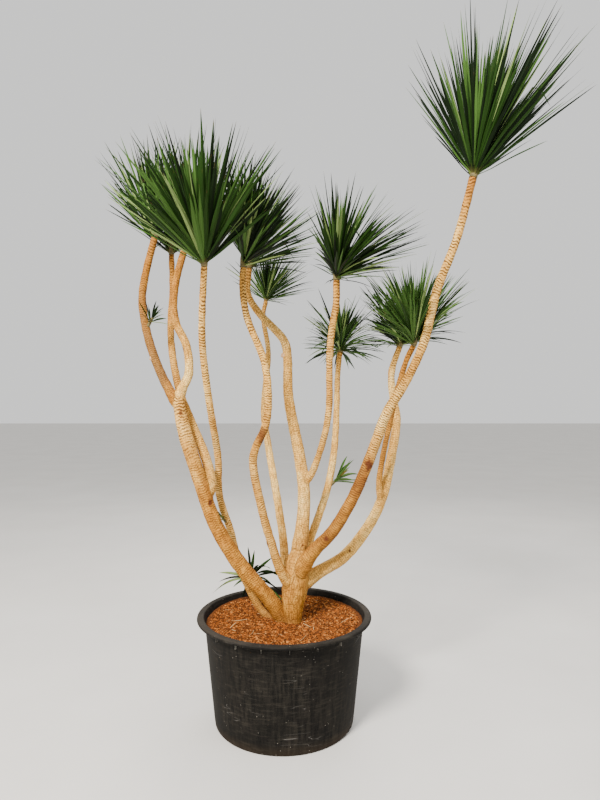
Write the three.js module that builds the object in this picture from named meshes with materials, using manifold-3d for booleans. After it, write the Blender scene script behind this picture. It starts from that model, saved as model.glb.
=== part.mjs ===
// A dragon tree in a round nursery tub. A short swollen trunk and two lesser stems stand on
// the potting mulch, break into long ringed canes, and every cane ends in a head of sword
// leaves. Millimetres, +Z up. The origin is the centre of the tub's flat underside, the front
// is towards -Y.

import * as THREE from "three";
import { mergeVertices } from "three/addons/utils/BufferGeometryUtils.js";
import Module from "manifold-3d";

const wasm = await Module();
wasm.setup();

// The clear gap between touching pieces
const gap = 0.3;

// The tub
const pot = {
  height: 483,
  baseRadius: 317,
  shoulderRadius: 367,
  rimRadius: 400,
  rimWidth: 33,
  lipDrop: 16,
  collarDrop: 10,
  collarRadius: 371,
  edge: 5,
  wall: 6,
  floor: 7,
  sides: 40,
};

// The filling: level where the stems stand, rising unevenly towards the wall. Round the tub
// it has two sets of waves, one turned by waveTurn radians and one that turns with the
// distance from the middle. slack is the room left at its brim.
const mulch = {
  level: 446,
  standRadius: 150,
  rise: 12,
  unevenness: 5,
  waves: [3, 5],
  waveTurn: 1,
  waveDrift: 40,
  slack: 1,
  rings: 4,
};

// Canes are swept rings: this far apart along the cane, with this many corners
const caneRingStep = 95;
const caneSides = 8;
const limbPointStep = 20;
const trunkSides = 12;

// The trunk widens upwards from its foot, to where the canes leave it
const trunk = {
  name: "trunk",
  standing: true,
  sides: trunkSides,
  radii: [36, 41, 50, 60, 61, 54, 38],
  bends: [[43, -12, 400], [40, -8, 510], [48, -4, 600], [55, 0, 680], [66, 2, 765]],
};

// Every stem and cane, in the order in which they grow from one another: its radius at the
// foot and at the tip, and the bends of its middle line from the foot to the tip
const limbs = [
  trunk,
  {
    name: "left_stem",
    standing: true,
    radii: [35, 36, 36, 33, 32, 33, 27],
    bends: [
      [14, 16, 405], [-62, 4, 533], [-160, -12, 650], [-252, -25, 781], [-326, -34, 922],
      [-381, -39, 1084], [-426, -38, 1222], [-462, -32, 1340], [-488, -22, 1462],
    ],
  },
  {
    name: "slim_left_stem",
    standing: true,
    radii: [18, 17, 17, 16, 14],
    bends: [
      [-45, 30, 410], [-135, 80, 500], [-210, 100, 650], [-262, 105, 840], [-311, 75, 1010],
      [-313, 30, 1205], [-332, -95, 1440], [-346, -200, 1668], [-338, -270, 1832],
      [-320, -330, 2012],
    ],
  },
  {
    name: "left_inner_cane",
    radii: [21, 17],
    bends: [
      [-492, -24, 1440], [-474, -6, 1515], [-446, 16, 1595], [-462, 36, 1720],
      [-514, 60, 1828], [-531, 75, 1930], [-517, 90, 2060], [-483, 100, 2195],
    ],
  },
  {
    name: "left_outer_cane",
    radii: [22, 17],
    bends: [
      [-478, -22, 1425], [-530, -4, 1505], [-592, 22, 1622], [-652, 55, 1785],
      [-684, 90, 1945], [-673, 117, 2085], [-640, 150, 2258],
    ],
  },
  {
    name: "left_rear_cane",
    radii: [25, 20, 17, 14],
    bends: [
      [-364, -34, 990], [-342, -8, 1095], [-372, 12, 1210], [-432, 44, 1345],
      [-505, 92, 1510], [-556, 165, 1700], [-577, 225, 1860], [-577, 265, 2020],
      [-589, 300, 2212],
    ],
  },
  {
    name: "tall_right_cane",
    radii: [32, 28, 25, 23, 19, 20, 18, 17],
    bends: [
      [55, -18, 645], [130, -58, 775], [225, -90, 885], [316, -122, 1052], [389, -151, 1238],
      [450, -168, 1408], [533, -186, 1550], [606, -201, 1715], [658, -218, 1935],
      [738, -237, 2150], [804, -250, 2405],
    ],
  },
  {
    name: "centre_leader",
    radii: [32, 27, 21, 15],
    bends: [
      [62, 2, 735], [84, 10, 890], [90, 15, 1055], [66, 15, 1225], [20, 25, 1470],
      [14, 40, 1650], [0, 57, 1740], [-50, 78, 1805], [-125, 105, 1885], [-182, 126, 1985],
      [-176, 135, 2108],
    ],
  },
  {
    name: "low_right_cane",
    radii: [31, 26, 22, 15],
    bends: [
      [50, 4, 590], [150, 30, 655], [278, 60, 724], [388, 92, 845], [468, 122, 990],
      [518, 154, 1185], [548, 178, 1365], [532, 198, 1500], [530, 211, 1610],
      [571, 225, 1732],
    ],
  },
  {
    name: "front_cane",
    radii: [21, 18, 15],
    bends: [
      [40, -22, 590], [-14, -52, 685], [-54, -74, 810], [-100, -100, 985], [-135, -132, 1205],
      [-78, -150, 1358], [-68, -150, 1500], [-90, -148, 1650], [-156, -144, 1812],
      [-180, -141, 1936], [-178, -138, 2050],
    ],
  },
  {
    name: "rear_cane",
    radii: [21, 19, 15, 12],
    bends: [
      [40, 22, 610], [4, 60, 690], [-11, 104, 815], [-44, 170, 1004], [-80, 230, 1192],
      [-112, 275, 1395], [-104, 305, 1560], [-92, 332, 1715], [-120, 358, 1895],
      [-107, 370, 1990],
    ],
  },
  {
    name: "right_rear_cane",
    radii: [20, 18, 14],
    bends: [
      [70, 22, 670], [112, 76, 780], [165, 132, 912], [212, 182, 1048], [244, 232, 1220],
      [260, 285, 1430], [266, 325, 1590], [281, 350, 1716],
    ],
  },
  {
    name: "centre_side_cane",
    radii: [15, 16],
    bends: [
      [88, 12, 1075], [132, -14, 1140], [182, -62, 1300], [203, -90, 1445],
      [203, -112, 1625], [212, -121, 1765], [232, -125, 1890], [234, -125, 1996],
    ],
  },
  {
    name: "right_side_cane",
    radii: [14, 13],
    bends: [
      [462, 118, 975], [450, 88, 1068], [460, 55, 1180], [484, 18, 1325], [513, -30, 1490],
      [548, -80, 1635], [578, -110, 1708],
    ],
  },
];

// The heads of leaves, one on the tip of each cane. lean is how far the head's axis tips to
// +X and +Y for each millimetre up, reach the length of its longest leaf, narrow and wide the
// angles to its axis of the innermost and outermost leaves, droop how far the leaves arch.
const heads = [
  { on: "left_outer_cane", lean: [-0.03, 0.05],
    leaves: 36, reach: 500, narrow: 4, wide: 42, droop: 0.05, seed: 11 },
  { on: "left_rear_cane", lean: [-0.06, 0.25],
    leaves: 34, reach: 540, narrow: 4, wide: 46, droop: 0.05, seed: 12 },
  { on: "left_inner_cane", lean: [0.02, 0],
    leaves: 34, reach: 560, narrow: 4, wide: 50, droop: 0.05, seed: 13 },
  { on: "slim_left_stem", lean: [-0.06, -0.08],
    leaves: 46, reach: 575, narrow: 3, wide: 56, droop: 0.05, seed: 14 },
  { on: "front_cane", lean: [0.08, -0.12],
    leaves: 40, reach: 500, narrow: 4, wide: 80, droop: 0.1, seed: 15 },
  { on: "centre_leader", lean: [0.1, 0.12],
    leaves: 36, reach: 500, narrow: 4, wide: 74, droop: 0.1, seed: 16 },
  { on: "rear_cane", lean: [0.2, 0.15],
    leaves: 28, reach: 310, narrow: 4, wide: 66, droop: 0.1, seed: 17 },
  { on: "centre_side_cane", lean: [0.1, -0.06],
    leaves: 42, reach: 490, narrow: 4, wide: 80, droop: 0.15, seed: 18 },
  { on: "right_rear_cane", lean: [0.05, 0.2],
    leaves: 32, reach: 380, narrow: 5, wide: 84, droop: 0.3, seed: 19 },
  { on: "low_right_cane", lean: [-0.05, 0.15],
    leaves: 34, reach: 420, narrow: 4, wide: 66, droop: 0.3, seed: 20 },
  { on: "right_side_cane", lean: [-0.16, -0.1],
    leaves: 36, reach: 450, narrow: 4, wide: 50, droop: 0.25, seed: 21 },
  { on: "tall_right_cane", lean: [0.2, -0.05],
    leaves: 48, reach: 660, narrow: 2, wide: 45, droop: 0.03, seed: 22 },
];

// Young shoots on the sides of canes: their height on the cane, the way they point and the
// length of their leaves
const shoots = [
  { name: "outer_shoot", on: "left_outer_cane", height: 1800, towards: [0.6, -0.4, 0.9],
    leaves: 12, reach: 130, narrow: 5, wide: 60, droop: 0.2, seed: 31 },
  { name: "tiny_shoot", on: "slim_left_stem", height: 860, towards: [-0.45, -0.5, 0.75],
    leaves: 5, reach: 70, narrow: 5, wide: 45, droop: 0.1, seed: 32 },
  { name: "right_shoot", on: "right_rear_cane", height: 1030, towards: [0.8, 0.1, 0.7],
    leaves: 8, reach: 190, narrow: 6, wide: 55, droop: 0.25, seed: 33 },
  { name: "basal_shoot", on: "slim_left_stem", height: 570, towards: [0.2, 0.85, 0.6],
    leaves: 14, reach: 240, narrow: 8, wide: 88, droop: 0.5, seed: 34 },
];

// A leaf: widest at this share of its length, and so wide and thick for its length
const leafWidestAt = 0.36;
const leafWidthShare = 0.06;
const leafThicknessShare = 0.0125;
const shootLeafWidthShare = 0.1;

// How leaves differ: the random part of their turn in radians, of their spread in degrees and
// of their length, and how much shorter the lowest and the innermost are than those between
const leafRule = { turn: 0.12, spread: 4, length: 0.14, shortest: 0.3, swell: 2.4, swellStart: 0.6 };

// Leaves that don't fit are tried again at the next turns, up to this many for each one
const triesForEachLeaf = 4;

// How far a leaf stays inside its head's space and off a cane's bark
const spaceMargin = 1;
const barkMargin = 4;

// The stalk inside a head is swollen by the sheathing feet of the leaves: its length as a
// share of the head's reach, its radii as shares of the cane's tip, and where along it the
// leaves are rooted
const headStalk = { length: 0.17, swelling: [1, 1.3, 0.7], rootedFrom: 0.14, rootedTo: 0.95 };
const shootStalk = { radius: 8, length: 50, swelling: [1, 1, 0.7], rootedFrom: 0.55, rootedTo: 0.97 };
const stalkSides = 6;
const stalkRings = 2;

// Leaves turn by the golden angle from one to the next
const goldenAngle = Math.PI * (3 - Math.sqrt(5));

// Colour and roughness of each material
const finishes = {
  pot: [0x1f2022, 0.55],
  mulch: [0x8a5630, 0.95],
  bark: [0xb98f66, 0.8],
  leaves: [0x2e4a26, 0.5],
  shoots: [0x47702f, 0.5],
};

// A seeded source of numbers from 0 to 1
function seededNumbers(seed) {
  let state = seed * 7919;
  return () => {
    state = (state * 1664525 + 1013904223) % 4294967296;
    return state / 4294967296;
  };
}

// The value at share t of a list of values set evenly along a length
function along(values, t) {
  const place = Math.min(Math.max(t, 0), 1) * (values.length - 1);
  const from = Math.min(Math.floor(place), values.length - 2);
  return THREE.MathUtils.lerp(values[from], values[from + 1], place - from);
}

// A closed geometry as a solid that can be joined and cut
function solidFrom(geometry) {
  const bare = new THREE.BufferGeometry();
  bare.setAttribute("position", geometry.attributes.position);
  bare.setIndex(geometry.index);
  const merged = mergeVertices(bare, 1e-3);
  const faces = [];
  for (let i = 0; i < merged.index.count; i += 3) {
    const [a, b, c] = merged.index.array.slice(i, i + 3);
    if (a !== b && b !== c && c !== a) {
      faces.push(a, b, c);
    }
  }
  return new wasm.Manifold(new wasm.Mesh({
    numProp: 3,
    vertProperties: new Float32Array(merged.attributes.position.array),
    triVerts: new Uint32Array(faces),
  }));
}

// The largest separate body of a solid
function largestBody(solid) {
  const bodies = solid.decompose();
  return bodies.reduce((best, body) => (body.volume() > best.volume() ? body : best));
}

function meshFrom(name, solid, [colour, roughness]) {
  const { numProp, vertProperties, triVerts } = solid.getMesh();
  const geometry = new THREE.BufferGeometry();
  const corners = new THREE.BufferAttribute(new Float32Array(vertProperties), numProp);
  geometry.setAttribute("position", corners);
  geometry.setIndex(new THREE.BufferAttribute(new Uint32Array(triVerts), 1));
  geometry.computeVertexNormals();
  const material = new THREE.MeshStandardMaterial({ color: colour, roughness, metalness: 0 });
  const mesh = new THREE.Mesh(geometry, material);
  mesh.name = name;
  return mesh;
}

// A profile of [radius, height] corners turned about the vertical axis
function turned(profile) {
  const corners = profile.map(([radius, height]) => new THREE.Vector2(radius, height));
  return new THREE.LatheGeometry(corners, pot.sides).rotateX(Math.PI / 2);
}

function wallRadius(height) {
  return THREE.MathUtils.lerp(pot.baseRadius, pot.shoulderRadius, height / pot.height);
}

function potSolid() {
  const top = pot.height;
  const lipBottom = top - pot.lipDrop;
  const collarBottom = lipBottom - pot.collarDrop;
  const innerTop = pot.rimRadius - pot.rimWidth;
  return solidFrom(turned([
    [0, 0],
    [pot.baseRadius - pot.edge, 0],
    [pot.baseRadius, pot.edge],
    [wallRadius(collarBottom), collarBottom],
    [pot.collarRadius, lipBottom],
    [pot.rimRadius - pot.edge, lipBottom],
    [pot.rimRadius, top - pot.edge],
    [pot.rimRadius - pot.edge, top],
    [innerTop, top],
    [wallRadius(collarBottom) - pot.wall, collarBottom],
    [pot.baseRadius - pot.wall, pot.floor],
    [0, pot.floor],
  ]));
}

// The height of the filling's surface at a distance and an angle from the middle
function mulchHeight(radius, angle) {
  const outwards = Math.max(0, radius - mulch.standRadius) / (pot.shoulderRadius - mulch.standRadius);
  const [few, many] = mulch.waves;
  const steady = Math.sin(few * angle + mulch.waveTurn);
  const drifting = Math.sin(many * angle + radius / mulch.waveDrift);
  const uneven = mulch.unevenness * (steady + drifting) / 2;
  return mulch.level + outwards * (mulch.rise + uneven);
}

function mulchSolid() {
  const inset = pot.wall + gap;
  const bottom = pot.floor + gap;
  const brim = mulch.level + mulch.rise;
  const brimRadius = wallRadius(brim) - inset - mulch.slack;
  const profile = [[0, bottom], [pot.baseRadius - inset, bottom], [brimRadius, brim]];
  for (let ring = 1; ring <= mulch.rings; ring += 1) {
    const share = ring / mulch.rings;
    profile.push([THREE.MathUtils.lerp(brimRadius, mulch.standRadius, share), mulch.level]);
  }
  profile.push([0, mulch.level]);
  const geometry = turned(profile);
  const corners = geometry.attributes.position;
  for (let i = 0; i < corners.count; i += 1) {
    if (corners.getZ(i) > bottom + mulch.slack) {
      const [x, y] = [corners.getX(i), corners.getY(i)];
      corners.setZ(i, mulchHeight(Math.hypot(x, y), Math.atan2(y, x)));
    }
  }
  return solidFrom(geometry);
}

// The middle line of a limb
function middleLine(limb) {
  const bends = limb.bends.map((bend) => new THREE.Vector3(...bend));
  return new THREE.CatmullRomCurve3(bends, false, "catmullrom");
}

// A closed cylinder bent along a curve, with its radius changing from end to end. extra
// makes it that much larger all round, ends included.
function swept(curve, radii, sides, rings, extra = 0) {
  const geometry = new THREE.CylinderGeometry(1, 1, 1, sides, rings);
  const frames = curve.computeFrenetFrames(rings, false);
  const corners = geometry.attributes.position;
  const point = new THREE.Vector3();
  for (let i = 0; i < corners.count; i += 1) {
    const [across, share, over] = [corners.getX(i), corners.getY(i) + 0.5, corners.getZ(i)];
    const ring = Math.round(share * rings);
    const radius = along(radii, share) + extra;
    const beyondEnd = { 0: -extra, [rings]: extra }[ring] ?? 0;
    curve.getPointAt(ring / rings, point);
    point.addScaledVector(frames.tangents[ring], beyondEnd);
    point.addScaledVector(frames.binormals[ring], across * radius);
    point.addScaledVector(frames.normals[ring], over * radius);
    corners.setXYZ(i, point.x, point.y, point.z);
  }
  return geometry;
}

// A limb as a solid, or the space that it and its gap take up
function limbSolid(limb, extra = 0) {
  const curve = middleLine(limb);
  const rings = Math.round(curve.getLength() / caneRingStep) + 2;
  return solidFrom(swept(curve, limb.radii, limb.sides ?? caneSides, rings, extra));
}

// Everything below the surface that the stems stand on
function groundSolid() {
  const depth = 2 * mulch.level;
  const box = new THREE.BoxGeometry(4 * pot.rimRadius, 4 * pot.rimRadius, depth);
  box.translate(0, 0, mulch.level + gap - depth / 2);
  return solidFrom(box);
}

function limbWithGap(limb) {
  return limbSolid(limb, gap / Math.cos(Math.PI / caneSides));
}

// Each limb is cut clear of the ground and of the limbs that it grows from or leans on
function limbSolids() {
  const ground = groundSolid();
  const made = [];
  for (const limb of limbs) {
    let solid = limbSolid(limb);
    if (limb.standing) {
      solid = solid.subtract(ground);
    }
    for (const earlier of made) {
      solid = solid.subtract(limbWithGap(earlier.limb));
    }
    made.push({ limb, solid: largestBody(solid) });
  }
  return made;
}

// A leaf: a pointed root, a keeled middle and a long pointed tip
function leafCorners(root, out, axis, length, width, droop) {
  const side = new THREE.Vector3().crossVectors(axis, out).normalize();
  const upper = new THREE.Vector3().crossVectors(out, side).normalize();
  const middle = root.clone().addScaledVector(out, length * leafWidestAt);
  const bent = out.clone().add(new THREE.Vector3(0, 0, -droop)).normalize();
  const tip = middle.clone().addScaledVector(bent, length * (1 - leafWidestAt));
  const left = middle.clone().addScaledVector(side, -width / 2);
  const right = middle.clone().addScaledVector(side, width / 2);
  const keel = middle.clone().addScaledVector(upper, -length * leafThicknessShare);
  return [root, left, right, keel, tip];
}

function leafSolid(corners) {
  const geometry = new THREE.BufferGeometry().setFromPoints(corners);
  geometry.setIndex([0, 1, 2, 1, 4, 2, 0, 3, 1, 0, 2, 3, 1, 3, 4, 2, 4, 3]);
  return solidFrom(geometry);
}

function limbNamed(name) {
  return limbs.find((limb) => limb.name === name);
}

// Where a head starts, the way it points, and the middle of its space
function headPlace(head) {
  const limb = limbNamed(head.on);
  const curve = middleLine(limb);
  const tangent = curve.getTangentAt(1);
  const axis = new THREE.Vector3(...head.lean, 1).normalize();
  const foot = curve.getPointAt(1).addScaledVector(tangent, gap);
  const length = headStalk.length * head.reach;
  const focus = foot.clone().addScaledVector(axis, 2 * length);
  return { foot, tangent, axis, focus, length, radius: along(limb.radii, 1), stalk: headStalk };
}

// A shoot starts at its height on the side of its cane
function shootPlace(shoot) {
  const limb = limbNamed(shoot.on);
  const points = limbPoints(limb);
  const { at: foot, radius: caneRadius } = points.find(({ at }) => at.z > shoot.height);
  const axis = new THREE.Vector3(...shoot.towards).normalize();
  const length = caneRadius + shootStalk.length;
  const focus = foot.clone().addScaledVector(axis, length);
  const radius = shootStalk.radius;
  return { foot, tangent: axis, axis, focus, length, radius, stalk: shootStalk };
}

// Points along the middle line of a limb, with its radius there
function limbPoints(limb) {
  const curve = middleLine(limb);
  const steps = Math.round(curve.getLength() / limbPointStep);
  return curve.getSpacedPoints(steps).map((at, step) => (
    { at, radius: along(limb.radii, step / steps) }
  ));
}

// Whether a leaf keeps to the space nearer its own head than any other
function keepsItsSpace(corners, place, otherPlaces) {
  return otherPlaces.every((other) => corners.every((corner) => {
    const apart = other.focus.distanceTo(place.focus);
    const lead = corner.distanceToSquared(other.focus) - corner.distanceToSquared(place.focus);
    return lead / (2 * apart) > spaceMargin;
  }));
}

// Whether the part of a leaf outside its stalk stays off every limb
function clearOfLimbs([root, left, right, , tip], width, points) {
  const middle = left.clone().lerp(right, 0.5);
  const checks = [0.4, 0.6, 0.8, 1].map((share) => root.clone().lerp(middle, share));
  checks.push(...[0.2, 0.4, 0.6, 0.8, 1].map((share) => middle.clone().lerp(tip, share)));
  return checks.every((check) => points.every(({ at, radius }) => (
    check.distanceTo(at) > radius + width / 2 + barkMargin
  )));
}

// The corners of the leaf that stands at share of the way from the lowest to the innermost
function leafOnStalk(mass, place, stalkLine, share, turn, random) {
  const across = new THREE.Vector3(1, 0, 0).cross(place.axis).normalize();
  const outwards = across.applyAxisAngle(place.axis, turn + leafRule.turn * random());
  const hinge = new THREE.Vector3().crossVectors(place.axis, outwards).normalize();
  const evenSpread = THREE.MathUtils.lerp(mass.wide, mass.narrow, share);
  const spread = evenSpread + leafRule.spread * (random() - 0.5);
  const out = place.axis.clone().applyAxisAngle(hinge, THREE.MathUtils.degToRad(spread));
  const { rootedFrom, rootedTo } = place.stalk;
  const root = stalkLine.getPoint(THREE.MathUtils.lerp(rootedFrom, rootedTo, share));
  const swell = Math.sin(leafRule.swell * share + leafRule.swellStart);
  const evenLength = mass.reach * (1 - leafRule.shortest * (1 - swell));
  const length = evenLength * (1 - leafRule.length * random());
  const width = mass.reach * (mass.name ? shootLeafWidthShare : leafWidthShare);
  const corners = leafCorners(root, out, place.axis, length, width, 2 * mass.droop * random());
  return { corners, width };
}

// One mass of leaves: a stalk and the leaves that stand in a spiral on it, the outermost
// lowest. A leaf that would leave the mass's space or touch a limb is left out.
function massSolid(mass, place, otherPlaces, points) {
  const random = seededNumbers(mass.seed);
  const stalkEnd = place.foot.clone().addScaledVector(place.axis, place.length);
  const stalkBend = place.foot.clone().addScaledVector(place.tangent, place.length / 2);
  const stalkLine = new THREE.QuadraticBezierCurve3(place.foot, stalkBend, stalkEnd);
  const stalkRadii = place.stalk.swelling.map((share) => share * place.radius);
  let solid = solidFrom(swept(stalkLine, stalkRadii, stalkSides, stalkRings));
  let made = 0;
  for (let i = 0; made < mass.leaves && i < triesForEachLeaf * mass.leaves; i += 1) {
    const share = (i % mass.leaves + random()) / mass.leaves;
    const leaf = leafOnStalk(mass, place, stalkLine, share, i * goldenAngle, random);
    const inSpace = keepsItsSpace(leaf.corners, place, otherPlaces);
    if (inSpace && clearOfLimbs(leaf.corners, leaf.width, points)) {
      solid = solid.add(leafSolid(leaf.corners));
      made += 1;
    }
  }
  return solid;
}

const tree = new THREE.Group();
tree.add(meshFrom("pot", potSolid(), finishes.pot));
tree.add(meshFrom("potting_mulch", mulchSolid(), finishes.mulch));
for (const { limb, solid } of limbSolids()) {
  tree.add(meshFrom(limb.name, solid, finishes.bark));
}

const masses = [...heads, ...shoots];
const places = [...heads.map(headPlace), ...shoots.map(shootPlace)];
const allLimbPoints = limbs.flatMap(limbPoints);
masses.forEach((mass, i) => {
  const others = places.filter((place) => place !== places[i]);
  const solid = massSolid(mass, places[i], others, allLimbPoints);
  if (mass.name) {
    const offBark = solid.subtract(limbWithGap(limbNamed(mass.on)));
    tree.add(meshFrom(mass.name, largestBody(offBark), finishes.shoots));
  } else {
    tree.add(meshFrom(`${mass.on}_leaves`, largestBody(solid), finishes.leaves));
  }
});

export default tree;
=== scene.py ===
from math import cos, pi, radians, sin, sqrt
from types import SimpleNamespace as Group

import bmesh
import bpy
import numpy as np
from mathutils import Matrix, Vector, noise
from numpy.linalg import norm


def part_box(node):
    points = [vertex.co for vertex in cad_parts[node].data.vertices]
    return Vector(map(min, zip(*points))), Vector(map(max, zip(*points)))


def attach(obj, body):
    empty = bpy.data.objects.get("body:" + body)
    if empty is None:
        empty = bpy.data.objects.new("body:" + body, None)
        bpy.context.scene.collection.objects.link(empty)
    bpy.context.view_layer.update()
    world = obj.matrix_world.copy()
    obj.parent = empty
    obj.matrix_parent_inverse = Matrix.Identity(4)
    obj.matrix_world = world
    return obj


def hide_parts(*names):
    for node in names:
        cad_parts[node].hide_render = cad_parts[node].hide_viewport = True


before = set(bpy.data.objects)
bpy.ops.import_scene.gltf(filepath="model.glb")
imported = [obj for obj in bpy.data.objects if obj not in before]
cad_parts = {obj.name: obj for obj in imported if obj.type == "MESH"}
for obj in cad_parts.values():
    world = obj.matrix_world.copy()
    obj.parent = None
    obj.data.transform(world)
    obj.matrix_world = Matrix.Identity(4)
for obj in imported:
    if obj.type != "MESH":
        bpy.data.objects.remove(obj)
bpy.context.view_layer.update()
scene = bpy.context.scene

# Sizes in the tables are in millimetres, as the tree was measured, and MM turns them into metres
MM = 0.001
UP = np.array([0.0, 0.0, 1.0])

TUB = Group(
    height=483, base_radius=317, shoulder_radius=367, rim_radius=400, rim_width=33, lip_drop=16,
    collar_drop=10, collar_radius=371, wall=6, floor=7, foot_width=60, recess=3, foot_round=9,
    rim_round=9, lip_round=6, inner_round=7, wall_rings=12, inner_rings=(300, 150), segments=160)
MULCH = Group(level=446, stand_radius=150, rise=12, unevenness=5, wave_length=40, lumps=6,
              lump_size=34, crumb_size=13, crumb_share=0.6, flattened=0.5, calm_rings=6, sunk=2,
              rings=46, sides=150, crowding=0.8)
GUSSETS = Group(count=20, turn=4.8, radius=370, width=10, height=27, thickness=3, sunk=2)
# Edges that turn by more than this, in degrees, stay sharp
CREASE = 40

# What lies on the filling: how many to the square metre, a seed, the dark and the light
# colour. Fibres start with their length and thickness in metres
CHIPS = {
    "rust_chips": (8500.0, 5, (0.23, 0.062, 0.010), (0.41, 0.130, 0.025)),
    "brown_chips": (11000.0, 6, (0.060, 0.017, 0.005), (0.150, 0.050, 0.012)),
    "tan_chips": (2600.0, 7, (0.36, 0.130, 0.029), (0.57, 0.265, 0.078)),
}
FIBRES = {
    "coir_fibres": (0.045, 0.0007, 2600.0, 21, (0.24, 0.085, 0.02), (0.50, 0.22, 0.07)),
    "pale_straws": (0.085, 0.0012, 170.0, 22, (0.48, 0.30, 0.13), (0.72, 0.52, 0.28)),
}
# The bed's dark and light colour; the dark shows between the chips and is partly painted shade in
# those gaps
MULCH_COLOURS = [(0.075, 0.022, 0.006), (0.22, 0.075, 0.018)]
# A chip's radius, its smallest and largest size as shares of that, and how far it tilts
CHIP_RADIUS, CHIP_TILT = 0.0085, 0.5
SMALLEST_CHIP, LARGEST_CHIP = (0.3, 0.2, 0.1), (1.25, 0.8, 0.45)
FIBRE_TILT, FIBRE_HUMP, FULL_TURN = 0.25, 0.22, 6.283
# The smallest and the largest fibre for those in the table
SMALLEST_FIBRE, LARGEST_FIBRE = 0.35, 1.3
# How far chips and fibres stay from the wall, and how far a fibre reaches for its length
CHIP_MARGIN, FIBRE_MARGIN, FIBRE_REACH = 14, 6, 0.65

# Each stem and cane: the radii from its foot to its tip, how its bark is coloured from foot to
# tip (0 golden tan, 1 pale beige; many values are raised to paint light where heads and canes cast
# shadow, and values below 0 darken the bark with painted shade of the leaves), how plainly it is
# ringed, and the bends of its middle line
LIMBS = {
    "trunk": ([36, 41, 50, 60, 61, 54, 38], [-0.1, 0.1, 0.3], 0, [
        (43, -12, 400), (40, -8, 510), (48, -4, 600), (55, 0, 680), (66, 2, 765)]),
    "left_stem": ([35, 36, 36, 33, 32, 33, 27], [-0.1, 0, 0, 0, 0.4, 0.85], 0.65, [
        (14, 16, 405), (-62, 4, 533), (-160, -12, 650), (-252, -25, 781), (-326, -34, 922),
        (-381, -39, 1084), (-426, -38, 1222), (-462, -32, 1340), (-488, -22, 1462)]),
    "slim_left_stem": ([18, 17, 17, 16, 14], [0.1, 0.8, 0.8, 0.9, 0.5], 0.9, [
        (-45, 30, 410), (-135, 80, 500), (-210, 100, 650), (-262, 105, 840), (-311, 75, 1010),
        (-313, 30, 1205), (-332, -95, 1440), (-346, -200, 1668), (-338, -270, 1832),
        (-320, -330, 2012)]),
    "left_inner_cane": ([21, 17], [0.9, 0.9, 0.3, 0, -0.2], 0.2, [
        (-492, -24, 1440), (-474, -6, 1515), (-446, 16, 1595), (-462, 36, 1720),
        (-514, 60, 1828), (-531, 75, 1930), (-517, 90, 2060), (-483, 100, 2195)]),
    "left_outer_cane": ([22, 17], [0.3, -0.8, -0.7, -0.4, 0, -0.3], 0.6, [
        (-478, -22, 1425), (-530, -4, 1505), (-592, 22, 1622), (-652, 55, 1785),
        (-684, 90, 1945), (-673, 117, 2085), (-640, 150, 2258)]),
    "left_rear_cane": ([25, 20, 17, 14], [0.4, 0.9, 0.5, 0.2, 0.2, -0.2], 0.6, [
        (-364, -34, 990), (-342, -8, 1095), (-372, 12, 1210), (-432, 44, 1345),
        (-505, 92, 1510), (-556, 165, 1700), (-577, 225, 1860), (-577, 265, 2020),
        (-589, 300, 2212)]),
    "tall_right_cane": ([32, 28, 25, 23, 19, 20, 18, 17],
                        [0.1, -0.1, -0.1, 0.9, 0.4, 0.8, 0.7, 0], 0.95, [
        (55, -18, 645), (130, -58, 775), (225, -90, 885), (316, -122, 1052), (389, -151, 1238),
        (450, -168, 1408), (533, -186, 1550), (606, -201, 1715), (658, -218, 1935),
        (738, -237, 2150), (804, -250, 2405)]),
    "centre_leader": ([32, 27, 21, 15], [0.3, 1, 1, 0.6, 0.9, 0.3], 0.3, [
        (62, 2, 735), (84, 10, 890), (90, 15, 1055), (66, 15, 1225), (20, 25, 1470),
        (14, 40, 1650), (0, 57, 1740), (-50, 78, 1805), (-125, 105, 1885), (-182, 126, 1985),
        (-176, 135, 2108)]),
    "low_right_cane": ([31, 26, 22, 15], [0.4, 1, 1, 0.8, 0.6, 1, 0.9], 0.35, [
        (50, 4, 590), (150, 30, 655), (278, 60, 724), (388, 92, 845), (468, 122, 990),
        (518, 154, 1185), (548, 178, 1365), (532, 198, 1500), (530, 211, 1610),
        (571, 225, 1732)]),
    "front_cane": ([21, 18, 15], [0.1, 0.5, 0.5, 0.2, 0.9, 0.7, 0.4], 0.85, [
        (40, -22, 590), (-14, -52, 685), (-54, -74, 810), (-100, -100, 985), (-135, -132, 1205),
        (-78, -150, 1358), (-68, -150, 1500), (-90, -148, 1650), (-156, -144, 1812),
        (-180, -141, 1936), (-178, -138, 2050)]),
    "rear_cane": ([21, 19, 15, 12], [0.8, 1, 1, 0.5, 0.8, 0.5], 0.15, [
        (40, 22, 610), (4, 60, 690), (-11, 104, 815), (-44, 170, 1004), (-80, 230, 1192),
        (-112, 275, 1395), (-104, 305, 1560), (-92, 332, 1715), (-120, 358, 1895),
        (-107, 370, 1990)]),
    "right_rear_cane": ([20, 18, 14], [0.6, 1, 0.9, 0.9, 0.9, 0.5], 0.15, [
        (70, 22, 670), (112, 76, 780), (165, 132, 912), (212, 182, 1048), (244, 232, 1220),
        (260, 285, 1430), (266, 325, 1590), (281, 350, 1716)]),
    "centre_side_cane": ([15, 16], [0.8, 0.5, 0.6, 0.4, 0], 0.8, [
        (88, 12, 1075), (132, -14, 1140), (182, -62, 1300), (203, -90, 1445),
        (203, -112, 1625), (212, -121, 1765), (232, -125, 1890), (234, -125, 1996)]),
    "right_side_cane": ([14, 13], [0.4, -0.2, -0.2, 0], 0.6, [
        (462, 118, 975), (450, 88, 1068), (460, 55, 1180), (484, 18, 1325), (513, -30, 1490),
        (548, -80, 1635), (578, -110, 1708)]),
}

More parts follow.
